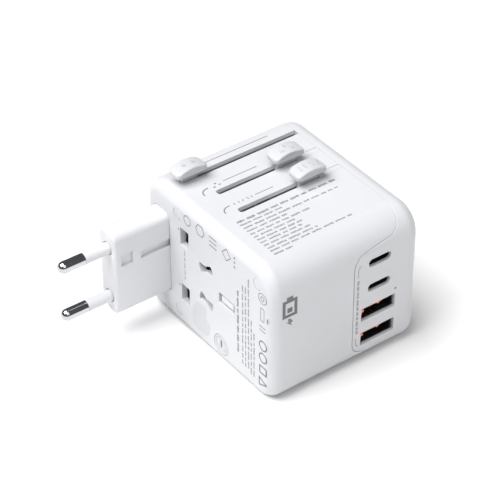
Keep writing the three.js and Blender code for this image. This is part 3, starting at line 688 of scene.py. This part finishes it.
PIN_SIDES = 72
for spot, z in EU_PINS.items():
    tip = EU_FRONT - EU_PIN_LENGTH
    sleeve_end = EU_FRONT - 9.9
    profile = [(tip + EU_PIN_RADIUS - EU_PIN_RADIUS * math.cos(math.radians(a)),
                EU_PIN_RADIUS * math.sin(math.radians(a))) for a in range(0, 91, 9)]
    profile += [(sleeve_end - 0.1, EU_PIN_RADIUS), (sleeve_end - 0.02, 1.93), (sleeve_end, 1.5), (EU_FRONT + 8.0, 1.5)]
    pin = turned(f"eu_pin_{spot}_nickel", profile, (EU_Y, z), PIN_SIDES)
    finish_piece(pin, "eu_slider", "steel", f"eu_pin_{spot}", material=CHROME, angle=50)
    sleeve_section = [(sleeve_end + 0.02, 1.6), (sleeve_end + 0.04, 1.88), (sleeve_end + 0.16, 1.98),
                      (EU_FRONT + 7.9, 1.98), (EU_FRONT + 7.9, 1.6)]
    rings = []
    for t, radius in sleeve_section + [sleeve_section[0]]:
        rings.append([place("X", EU_Y + radius * math.cos(math.tau * i / PIN_SIDES),
                            z + radius * math.sin(math.tau * i / PIN_SIDES), t) for i in range(PIN_SIDES)])
    verts = [p for ring in rings[:-1] for p in ring]
    faces = []
    for r in range(len(sleeve_section)):
        for i in range(PIN_SIDES):
            j, q = (i + 1) % PIN_SIDES, (r + 1) % len(sleeve_section)
            faces.append((r * PIN_SIDES + i, r * PIN_SIDES + j, q * PIN_SIDES + j, q * PIN_SIDES + i))
    sleeve = make(f"eu_sleeve_{spot}_moulded", verts, faces)
    finish_piece(sleeve, "eu_slider", "plug", f"eu_sleeve_{spot}", material=PLUG, angle=50)


# ------------------------------------------------------------------ slider knobs
KNOB_HALF, KNOB_WIDE, KNOB_LIFT, KNOB_END, KNOB_CROWN = 5.7, 3.0, 3.0, 1.5, 2.9


def crown(x):
    return KNOB_LIFT + KNOB_END + (KNOB_CROWN - KNOB_END) * (1 - (x / KNOB_HALF) ** 2)


def knob_plan():
    """Outline points of the knob with the point of its middle line each one shrinks to."""
    corners = rounded(-KNOB_HALF, KNOB_HALF, -KNOB_WIDE, KNOB_WIDE, 1.5, 10)
    points = []
    for (x0, y0), (x1, y1) in zip(corners, corners[1:] + corners[:1]):
        pieces = max(1, round(math.hypot(x1 - x0, y1 - y0) / 0.4))
        points += [(x0 + (x1 - x0) * i / pieces, y0 + (y1 - y0) * i / pieces) for i in range(pieces)]
    reach = KNOB_HALF - KNOB_WIDE
    return [(x, y, min(max(x, -reach), reach)) for x, y in points]


def knob_ring(share, height):
    """The outline drawn in to a share of its half width; height above the top is a number or a function of x."""
    ring = []
    for x, y, middle in knob_plan():
        u, v = middle + (x - middle) * share, y * share
        ring.append((u, v, height(u) if callable(height) else height))
    return ring


def knob_shape(name):
    """Pillow with a crowned top, soft edges and a flat underside."""
    rings = [knob_ring(s, KNOB_LIFT) for s in (0.02, 0.5, 0.85, 0.93)]
    rings += [knob_ring(0.975, KNOB_LIFT + 0.07), knob_ring(1.0, KNOB_LIFT + 0.3)]
    soft, wide = 0.5, 0.65
    for i in range(8):
        turn = math.radians(90 * i / 7)
        share = 1 - wide * (1 - math.cos(turn)) / KNOB_WIDE
        rings.append(knob_ring(share, lambda u, t=turn: crown(u) - soft * (1 - math.sin(t))))
    rings += [knob_ring(s, crown) for s in (0.6, 0.45, 0.3, 0.15, 0.02)]
    return loft(name, rings)


def stroke(points, width, surface):
    """Straight bars along a polyline, each a closed thin solid; surface maps (u, v, height) to space."""
    parts = []
    for (u0, v0), (u1, v1) in zip(points, points[1:]):
        du, dv = u1 - u0, v1 - v0
        length = math.hypot(du, dv) or 1.0
        nu, nv = -dv / length * width / 2, du / length * width / 2
        parts.append([(u0 + nu, v0 + nv), (u0 - nu, v0 - nv), (u1 - nu, v1 - nv), (u1 + nu, v1 + nv)])
    return plates(parts, surface)


def plates(polygons, surface, low=-0.02, high=0.03):
    """Thin closed solids from outlines, as (vertices, faces)."""
    verts, faces = [], []
    for outline in polygons:
        n, base = len(outline), len(verts)
        verts += [surface(u, v, low) for u, v in outline] + [surface(u, v, high) for u, v in outline]
        faces += [tuple(base + i for i in range(n)), tuple(base + n + i for i in range(n))]
        faces += [(base + i, base + (i + 1) % n, base + n + (i + 1) % n, base + n + i) for i in range(n)]
    return verts, faces


def printed(name, groups, material, slot):
    verts, faces = [], []
    for more_verts, more_faces in groups:
        base = len(verts)
        verts += more_verts
        faces += [tuple(base + i for i in face) for face in more_faces]
    obj = make(name, verts, faces)
    return finish_piece(obj, "body", slot, material=material, shade=False)


def ring_outline(u, v, radius, sides):
    """Points round a circle, the first one repeated at the end."""
    return [(u + radius * math.cos(math.radians(360.0 * i / sides)),
             v + radius * math.sin(math.radians(360.0 * i / sides))) for i in range(sides + 1)]


def disc(u, v, radius):
    return ring_outline(u, v, radius, 20)[:-1]


KNOB_MARKS = {
    "eu": [disc(-1.7, 0.0, 0.75), disc(1.7, 0.0, 0.75)],
    "uk": [rounded(-0.42, 0.42, 0.4, 1.7, 0.1, 3), rounded(-2.6, -1.2, -1.3, -0.5, 0.1, 3),
           rounded(1.2, 2.6, -1.3, -0.5, 0.1, 3)],
    "usau": [rounded(-3.3, -2.7, -1.0, 1.2, 0.1, 3), rounded(-1.5, -0.9, -1.0, 1.2, 0.1, 3),
             [(1.3, -1.1), (1.9, -1.3), (0.9, 1.1), (0.4, 0.9)], [(2.9, -1.3), (3.5, -1.1), (4.3, 0.9), (3.8, 1.1)]],
}
for key, (slot_y, _) in SLOTS.items():
    body = f"{key}_button"
    x, neck = KNOB_X[key], KNOB_NECK[key]
    knob = knob_shape(f"{key}_knob_cap")
    combine(knob, [soften(block(-neck / 2, neck / 2, -0.8, 0.8, -5.0, KNOB_LIFT + 0.8), 0.12, 2)], "UNION")
    knob.data.transform(Matrix.Translation(Vector((x, slot_y, TOP)) * MM))
    finish_piece(knob, body, "knob", f"{key}_knob", material=KNOB, angle=40)
    # Raised marks in the darker copy of the knob plastic, which is painted shade
    marks = plates(KNOB_MARKS[key], lambda u, v, h: (x + u, slot_y + v, TOP + crown(u) + h), -0.1, 0.15)
    raised = make(f"{key}_knob_mark", *marks)
    soften(raised, 0.05, 1, 40)
    finish_piece(raised, body, "knob", material=KNOB_MARK_PAINTED_SHADE)

for key in ("uk", "usau"):
    start = KNOB_X[key] + KNOB_NECK[key] / 2 + 0.3
    y = SLOTS[key][0]
    cover = block(start, SEAM_X - 0.05, y - 0.99, y + 0.99, TOP - 2.2, TOP - 0.05, f"{key}_slot_cover")
    soften(cover, 0.07, 2)
    finish_piece(cover, f"{key}_slider", "shell", material=SHELL)

# ------------------------------------------------------------------ fuse cap and screw covers
cap_x = PLUG_FACE + 0.06
lid_profile = [(cap_x + 0.08, 0.0), (cap_x + 0.08, 2.35), (cap_x + 0.12, 2.46), (cap_x + 0.2, 2.52),
               (cap_x + 0.2, 2.7), (cap_x + 0.12, 2.76), (cap_x + 0.03, 2.86), (cap_x, 3.0), (cap_x, 3.5),
               (cap_x + 0.05, 3.6), (cap_x + 0.15, 3.65), (PLUG_FACE + 4.6, 3.65), (PLUG_FACE + 4.6, 0.0)]
lid = turned("fuse_lid", lid_profile, FUSE, 80)
driver_slot = rounded(FUSE[0] - 0.4, FUSE[0] + 0.4, FUSE[1] - 1.6, FUSE[1] + 1.6, 0.2, 4)
combine(lid, [prism("X", driver_slot, PLUG_FACE - 1, cap_x + 1.1)])
soften(lid, 0.08, 2, 45, where=lambda p: p.x < PLUG_FACE + 0.6 and math.hypot(p.y - FUSE[0], p.z - FUSE[1]) < 2.0)
finish_piece(lid, "fuse_cap", "plug", "fuse_cap", material=PATCH)

for i, (y, z) in enumerate(SCREWS, 1):
    face = PLUG_FACE + 0.03
    profile = [(face, 0.0), (face, 1.75), (face + 0.04, 1.88), (face + 0.12, 1.93), (face + 1.4, 1.93),
               (face + 1.4, 0.0)]
    cover = turned(f"screw_cover_{i}", profile, (y, z), 56)
    finish_piece(cover, "body", "shell", f"screw_plug_{i}", material=SHELL)

# ------------------------------------------------------------------ USB ports
def tube(name, width, height, radius, wall, z):
    """Port shell: an open mouth towards the front and a closed rear."""

    def outline(grow):
        return rounded(USB_X - width / 2 - grow, USB_X + width / 2 + grow, z - height / 2 - grow, z + height / 2 + grow,
                       radius + grow, 10)

    body = prism("Y", outline(wall), PORT_NEAR, PORT_FAR, name)
    combine(body, [prism("Y", outline(0.0), PORT_NEAR - 1, PORT_FAR - 0.5)])
    return soften(body, 0.09, 2, 40)


for i, z in enumerate(USB_C_Z, 1):
    finish_piece(tube(f"usb_c_port_{i}", 8.4, 2.7, 1.3, 0.3, z), "body", "steel",
                 f"usb_c_shell_{i}", material=DARK_STEEL)
    tongue = soften(block(USB_X - 3.3, USB_X + 3.3, PORT_NEAR + 1.4, PORT_FAR - 0.8, z - 0.35, z + 0.35,
                          f"usb_c_blade_{i}"), 0.12, 2)
    finish_piece(tongue, "body", "port", f"usb_c_tongue_{i}", material=BLACK)
    pads = [rounded(USB_X + dx - 0.13, USB_X + dx + 0.13, PORT_NEAR + 1.9, PORT_FAR - 2.5, 0.05, 2)
            for dx in [-2.75 + 0.5 * k for k in range(12)]]
    groups = [plates(pads, lambda u, v, h, s=s, z=z: (u, v, z + s * (0.35 + h)), -0.05, 0.02) for s in (-1, 1)]
    printed(f"usb_c_pads_{i}", groups, GOLD, "brass")
for i, z in enumerate(USB_A_Z, 1):
    finish_piece(tube(f"usb_a_port_{i}", 12.5, 4.6, 0.3, 0.35, z), "body", "copper",
                 f"usb_a_shell_{i}", material=DARK_STEEL)
    tongue = soften(block(USB_X - 5.6, USB_X + 5.6, PORT_NEAR + 2.2, PORT_FAR - 0.8, z - 1.9, z - 0.4,
                          f"usb_a_blade_{i}"), 0.15, 2)
    finish_piece(tongue, "body", "port", f"usb_a_tongue_{i}", material=BLACK)
    pads = [rounded(USB_X + dx - 0.5, USB_X + dx + 0.5, PORT_NEAR + 2.9, PORT_FAR - 2.5, 0.1, 2)
            for dx in (-3.5, -1.0, 1.0, 3.5)]
    printed(f"usb_a_pads_{i}", [plates(pads, lambda u, v, h, z=z: (u, v, z - 0.4 + h), -0.05, 0.02)], GOLD, "brass")
    left, ceiling = USB_X - 6.65, z + 2.52
    rim = [block(left, USB_X + 1.6, FRONT + 0.12, PORT_NEAR + 1.0, ceiling - 0.2, ceiling + 0.02),
           block(left - 0.02, left + 0.16, FRONT + 0.12, PORT_NEAR + 1.0, ceiling - 2.4, ceiling)]
    for dx, dz in ((6.9, -0.62), (0.75, -1.25)):
        profile = [(FRONT + 0.2, 0.05), (FRONT + 0.24, 0.3), (FRONT + 0.4, 0.52), (FRONT + 0.7, 0.62),
                   (FRONT + 1.6, 0.6)]
        rim.append(turned("dimple", profile, (left + dx, ceiling + dz), 28, axis="Y"))
    finish_piece(join(f"usb_a_springs_{i}", rim), "body", "copper", material=COPPER)

pipe = soften(prism("Y", rounded(18.5, 19.3, 23.7, 24.3, 0.28, 6), FRONT + 0.25, PORT_FAR, "light_pipe"), 0.06, 2)
finish_piece(pipe, "body", "light", "status_light", material=LIGHT)

# ------------------------------------------------------------------ shutter spring
spring_low, spring_high = node_box("shutter_spring")
spring_x, spring_z = (spring_low.x + spring_high.x) / 2, (spring_low.z + spring_high.z) / 2
curve = bpy.data.curves.new("shutter_coil", "CURVE")
curve.dimensions = "3D"
curve.bevel_depth = 0.17 * MM
curve.bevel_resolution = 3
line = curve.splines.new("POLY")
COILS, COIL_RADIUS = 8, 0.6
STEPS = COILS * 20
line.points.add(STEPS)
for i, point in enumerate(line.points):
    turn = math.tau * COILS * i / STEPS
    y = spring_low.y + 0.2 + (spring_high.y - spring_low.y - 0.4) * i / STEPS
    ring_x, ring_z = spring_x + COIL_RADIUS * math.cos(turn), spring_z + COIL_RADIUS * math.sin(turn)
    point.co = (*(Vector((ring_x, y, ring_z)) * MM), 1.0)
coil_obj = bpy.data.objects.new("shutter_coil_source", curve)
scene.collection.objects.link(coil_obj)
bpy.context.view_layer.update()
coil_mesh = bpy.data.meshes.new_from_object(coil_obj.evaluated_get(bpy.context.evaluated_depsgraph_get()))
drop(coil_obj)
coil = bpy.data.objects.new("shutter_coil", coil_mesh)
scene.collection.objects.link(coil)
finish_piece(coil, "body", "steel", "shutter_spring", material=STEEL, angle=60)
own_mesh(coil)


# ------------------------------------------------------------------ printed marks
def on_top(u, v, h):
    return (u, v, TOP + h)


def on_plug_face(u, v, h):
    return (PLUG_FACE - h, u, v)


def on_front(u, v, h):
    return (u, FRONT - h, v)


def words(start, end, gap, shortest, longest):
    """Random run lengths between two positions, like words on a line, as (from, to) pairs."""
    runs, at, way = [], start, 1 if end > start else -1
    while abs(end - at) > 0.8:
        run = min(rng.uniform(shortest, longest), abs(end - at))
        runs.append((at, at + way * run))
        at += way * (run + gap)
        if (end - at) * way <= 0:
            break
    return runs


top_marks = [
    stroke([(-11.4, 25.7), (13.5, 25.7)], 0.24, on_top),
    stroke([(-12.0, 14.5), (0.9, 14.5)], 0.24, on_top),
    stroke([(-8.2, 2.9), (-1.3, 2.9)], 0.24, on_top),
]
for arc_points in ([(-17.9, 14.2), (-19.2, 14.1), (-20.3, 13.5), (-20.9, 12.5), (-21.0, 11.4)],
                   [(-17.9, 2.9), (-19.3, 2.8), (-20.4, 2.2), (-21.0, 1.3), (-21.1, 0.4)]):
    top_marks.append(stroke(arc_points, 0.36, on_top))
for u, v in ((-14.8, 14.8), (-13.8, 13.7), (-16.0, 13.4)):
    top_marks.append(plates([rounded(u - 0.42, u + 0.42, v - 0.22, v + 0.22, 0.08, 2)], on_top))
for u, lean in ((-16.1, 0.0), (-14.4, 0.0), (-12.9, 0.25), (-11.1, -0.25), (-9.6, 0.0)):
    top_marks.append(stroke([(u - lean, 2.4), (u + lean, 3.3)], 0.26, on_top))
printed("top_marks", top_marks, INK_DARK, "inner")


def cells(runs, tall, centre, swap=False, narrow=0.34, wide=0.8):
    """Rows of small blocks in place of printed text: each run is broken into short bars of uneven height."""
    shapes = []
    for a, b in runs:
        low, high = min(a, b), max(a, b)
        at = low
        while at < high - 0.2:
            step = min(rng.uniform(narrow, wide), high - at)
            top, bottom = tall * rng.uniform(0.28, 0.5), tall * rng.uniform(0.28, 0.5)
            if swap:
                shapes.append(rounded(centre - bottom, centre + top, at, at + step - 0.13, 0.05, 1))
            else:
                shapes.append(rounded(at, at + step - 0.13, centre - bottom, centre + top, 0.05, 1))
            at += step
    return shapes


spec_rows = [(-5.4, 16.3, 1.25), (-7.1, -4.3, 1.0), (-8.9, 14.9, 1.0), (-10.6, -6.1, 1.0), (-12.35, 1.1, 1.0),
             (-14.1, -5.7, 1.0), (-15.8, -4.3, 1.0), (-17.4, -5.6, 1.0), (-19.1, -3.8, 1.0), (-20.8, -2.4, 1.0),
             (-22.4, 9.6, 1.0), (-24.2, -14.4, 1.0)]  # y, right end, height
for name, rows, look in (("top_title_line", spec_rows[:1], INK), ("top_spec_lines", spec_rows[1:], INK_FINE)):
    shapes = []
    for y, end, tall in rows:
        shapes += cells(words(-21.2, end, 0.7, 1.6, 4.6), tall * 0.86, y)
    printed(name, [plates(shapes, on_top, -0.02, 0.02)], look, "inner")

plug_dark, plug_fine = [], []
# plain shapes of no particular meaning: a row under the top edge and a column along the USB side
plug_dark.append(stroke(ring_outline(10.2, 45.0, 1.7, 24), 0.3, on_plug_face))
plug_dark.append(stroke(ring_outline(3.4, 45.3, 2.2, 6), 0.3, on_plug_face))
for z in (43.2, 44.8, 46.4):
    plug_dark.append(stroke([(-1.4, z), (-5.2, z)], 0.34, on_plug_face))
diamond = [(-10.3, 46.9), (-12.5, 44.7), (-10.3, 42.5), (-8.1, 44.7), (-10.45, 47.05)]
plug_dark.append(stroke(diamond, 0.3, on_plug_face))
dots = [rounded(-14.75, -14.05, z - 0.35, z + 0.35, 0.12, 2) for z in (42.7, 44.4, 46.1)]
plug_dark.append(plates(dots, on_plug_face))
plug_dark.append(stroke(ring_outline(-28.4, 39.6, 1.9, 24), 0.26, on_plug_face))
plug_dark.append(stroke(ring_outline(-28.4, 39.6, 0.8, 16), 0.26, on_plug_face))
tall_box = [(-27.6, 31.0), (-29.2, 31.0), (-29.2, 35.8), (-27.6, 35.8), (-27.6, 30.87)]
plug_dark.append(stroke(tall_box, 0.26, on_plug_face))
for z in (27.2, 28.6):
    plug_dark.append(stroke([(-26.9, z), (-29.9, z)], 0.3, on_plug_face))
for centre in (21.4, 16.6):
    plug_dark.append(stroke(ring_outline(-28.7, centre, 1.75, 24), 0.5, on_plug_face))
square = [(-27.1, 12.9), (-30.3, 12.9), (-30.3, 10.2), (-27.1, 10.2), (-27.1, 13.15)]
plug_dark.append(stroke(square, 0.55, on_plug_face))
plug_dark.append(stroke([(-26.9, 8.0), (-30.5, 6.5), (-26.9, 5.0), (-26.9, 8.3)], 0.5, on_plug_face))
for z in (39.0, 17.0):
    plug_dark.append(plates([rounded(14.75, 15.25, z - 0.35, z + 0.35, 0.15, 3)], on_plug_face))
plug_dark.append(plates(cells(words(34.8, 10.4, 0.6, 1.6, 4.0), 1.1, -16.0, True), on_plug_face))
printed("plug_face_marks", plug_dark, INK, "inner")

plug_fine += cells(words(32.3, 20.0, 0.5, 1.2, 2.6), 0.62, 12.0, True)
fine_columns = ((-18.4, 38.4, 7.2), (-19.9, 38.8, 6.8), (-21.4, 42.6, 6.4), (-22.8, 27.6, 6.0), (-24.2, 23.4, 5.2))
for y, z_top, z_end in fine_columns:
    plug_fine += cells(words(z_top, z_end, 0.6, 1.4, 3.6), 0.75, y, True)
plug_fine.append(rounded(-31.0, -30.6, 31.6, 33.4, 0.1, 2))
printed("plug_face_fine_lines", [plates(plug_fine, on_plug_face, -0.02, 0.02)], INK_FINE, "inner")

patch_outline = [(6.0, 15.9), (7.0, 14.0), (7.9, 13.2), (7.7, 11.4), (8.6, 9.6), (8.2, 7.6), (8.4, 5.8), (6.9, 5.4),
                 (5.6, 4.6), (3.6, 4.9), (1.6, 4.7), (0.2, 5.7), (-0.9, 6.9), (-0.6, 8.3), (-1.3, 9.6), (-0.8, 10.9),
                 (0.5, 11.4), (1.1, 12.8), (0.7, 14.8), (1.3, 16.9), (2.9, 16.3), (4.3, 16.8)]
patch = make("label_patch", *plates([patch_outline], on_plug_face, -0.02, 0.05))
soften(patch, 0.02, 1, 40)
finish_piece(patch, "body", "shell", material=PATCH)

battery = [[(x0, z0), (x1, z0), (x1, z1), (x0, z1)] for x0, x1, z0, z1 in (
    (-25.0, -19.5, 33.0, 34.1), (-25.0, -19.5, 38.5, 39.6), (-25.0, -23.9, 34.1, 38.5),
    (-20.6, -19.5, 34.1, 38.5), (-23.4, -21.1, 39.6, 40.7), (-23.2, -21.3, 34.7, 36.5))]
printed("front_charge_mark", [plates(battery, on_front)], INK_DARK, "inner")
bolt = [(-22.0, 32.3), (-21.0, 30.6), (-21.9, 30.6), (-21.4, 29.3), (-23.6, 31.2), (-22.7, 31.2), (-23.1, 32.3)]
printed("front_bolt_mark", [plates([bolt], on_front, -0.02, 0.02)], INK, "inner")
front_fine = [stroke([(4.9, 39.2), (4.2, 38.9), (3.8, 38.0), (3.7, 35.2)], 0.22, on_front),
              stroke([(3.6, 11.0), (3.6, 8.6), (4.0, 8.0), (4.8, 7.7)], 0.22, on_front)]
front_fine.append(plates(cells(words(34.2, 12.0, 0.35, 0.9, 2.6), 1.0, 3.85, True, 0.3, 0.55), on_front, -0.02, 0.02))
printed("front_port_lines", front_fine, INK_FINE, "inner")

# ------------------------------------------------------------------ nodes that keep their own shape
ROUNDED = {  # width of the round on their edges
    "uk_line_pin": 0.12, "uk_neutral_pin": 0.12, "uk_earth_pin": 0.25, "usau_blade_upper": 0.1,
    "usau_blade_lower": 0.1, "uk_carriage": 0.15, "usau_carriage": 0.15, "safety_shutter": 0.12,
    "line_contact": 0.06, "neutral_contact": 0.06, "earth_contact": 0.06, "line_busbar": 0.06,
    "neutral_busbar": 0.06, "charger_board": 0.08, "insulating_partition": 0.08, "transformer_core": 0.25,
}
KEEP_LOOK = {"uk_line_pin": BLADE, "uk_neutral_pin": BLADE, "usau_blade_upper": BLADE, "usau_blade_lower": BLADE,
             "uk_carriage": CARRIAGE_PAINTED_SHADE, "usau_carriage": CARRIAGE_PAINTED_SHADE}
slot_of = {part["node"]: part["material_slot"] for part in frame["record"]["subparts"]}
for name, obj in nodes.items():
    look = KEEP_LOOK.get(name) or SLOT_LOOKS[slot_of[name]]
    obj.data.materials.clear()
    obj.data.materials.append(look)
    if name in ROUNDED:
        mod = obj.modifiers.new("edges", "BEVEL")
        mod.limit_method = "ANGLE"
        mod.angle_limit = math.radians(35)
        mod.width = ROUNDED[name] * MM
        mod.segments = 2
        mod.harden_normals = False


# ------------------------------------------------------------------ floor, light and camera
def floor():
    mat, tree, bsdf, coord = shader("studio_floor")
    cloud = noise(tree, coord, 3.0, 2.0)
    tree.links.new(mix(tree, cloud, (0.87, 0.87, 0.87), (0.88, 0.88, 0.88)), bsdf.inputs["Base Color"])
    bsdf.inputs["Roughness"].default_value = 0.9
    bsdf.inputs["Specular IOR Level"].default_value = 0.1
    half = 3000.0
    obj = make("floor", [(-half, -half, 0), (half, -half, 0), (half, half, 0), (-half, half, 0)], [(0, 1, 2, 3)], mat)
    obj.location.z = -0.00005


def area_light(name, direction, distance, size, power):
    """Square light aimed at the middle of the body."""
    data = bpy.data.lights.new(name, "AREA")
    data.shape = "SQUARE"
    data.size = size
    data.energy = power
    obj = bpy.data.objects.new(name, data)
    way = Vector(direction).normalized()
    obj.location = Vector(LIGHT_AIM) + way * distance
    obj.rotation_mode = "QUATERNION"
    obj.rotation_quaternion = way.to_track_quat("Z", "Y")
    scene.collection.objects.link(obj)


def sky(low, high, start, end):
    """Dim, nearly even studio, a touch brighter near the horizon; start and end are heights in degrees."""
    world = bpy.data.worlds.new("studio")
    world.use_nodes = True
    tree = world.node_tree
    tree.nodes.clear()
    out = tree.nodes.new("ShaderNodeOutputWorld")
    background = tree.nodes.new("ShaderNodeBackground")
    coord = tree.nodes.new("ShaderNodeTexCoord")
    dot = tree.nodes.new("ShaderNodeVectorMath")
    dot.operation = "DOT_PRODUCT"
    tree.links.new(coord.outputs["Generated"], dot.inputs[0])
    dot.inputs[1].default_value = (0.0, 0.0, 1.0)
    rise = spread(tree, dot.outputs["Value"], 0.0, 1.0, math.sin(math.radians(start)), math.sin(math.radians(end)))
    tree.links.new(mix(tree, rise, low, high), background.inputs["Color"])
    tree.links.new(background.outputs["Background"], out.inputs["Surface"])
    scene.world = world


LIGHT_AIM = (0.0, 0.0, 0.025)
floor()
sky((0.13, 0.13, 0.132), (0.12, 0.12, 0.122), 12, 26)
area_light("softbox", (-0.42, 0.12, 0.90), 3.0, 2.5, 148.0)
area_light("front_fill", (-0.05, -0.65, 0.75), 3.0, 2.5, 29.0)

CAMERA_ANGLES = (-36.318, 38.256, -0.135)  # azimuth, elevation and roll in degrees
CAMERA_AIM, CAMERA_DISTANCE = (-0.00675, 0.00761, 0.025), 0.65068
LENS, SENSOR = 148.39, 36.0
camera_data = bpy.data.cameras.new("camera")
camera_data.lens = LENS
camera_data.sensor_width = SENSOR
camera = bpy.data.objects.new("camera", camera_data)
scene.collection.objects.link(camera)
azimuth, elevation, roll = (math.radians(a) for a in CAMERA_ANGLES)
back = Vector((math.sin(azimuth) * math.cos(elevation), -math.cos(azimuth) * math.cos(elevation),
               math.sin(elevation)))
right = Vector((math.cos(azimuth), math.sin(azimuth), 0.0))
up = back.cross(right)
across = right * math.cos(roll) + up * math.sin(roll)
upward = up * math.cos(roll) - right * math.sin(roll)
turn = Matrix((across, upward, back)).transposed().to_4x4()
camera.matrix_world = Matrix.Translation(Vector(CAMERA_AIM) + back * CAMERA_DISTANCE) @ turn
scene.camera = camera
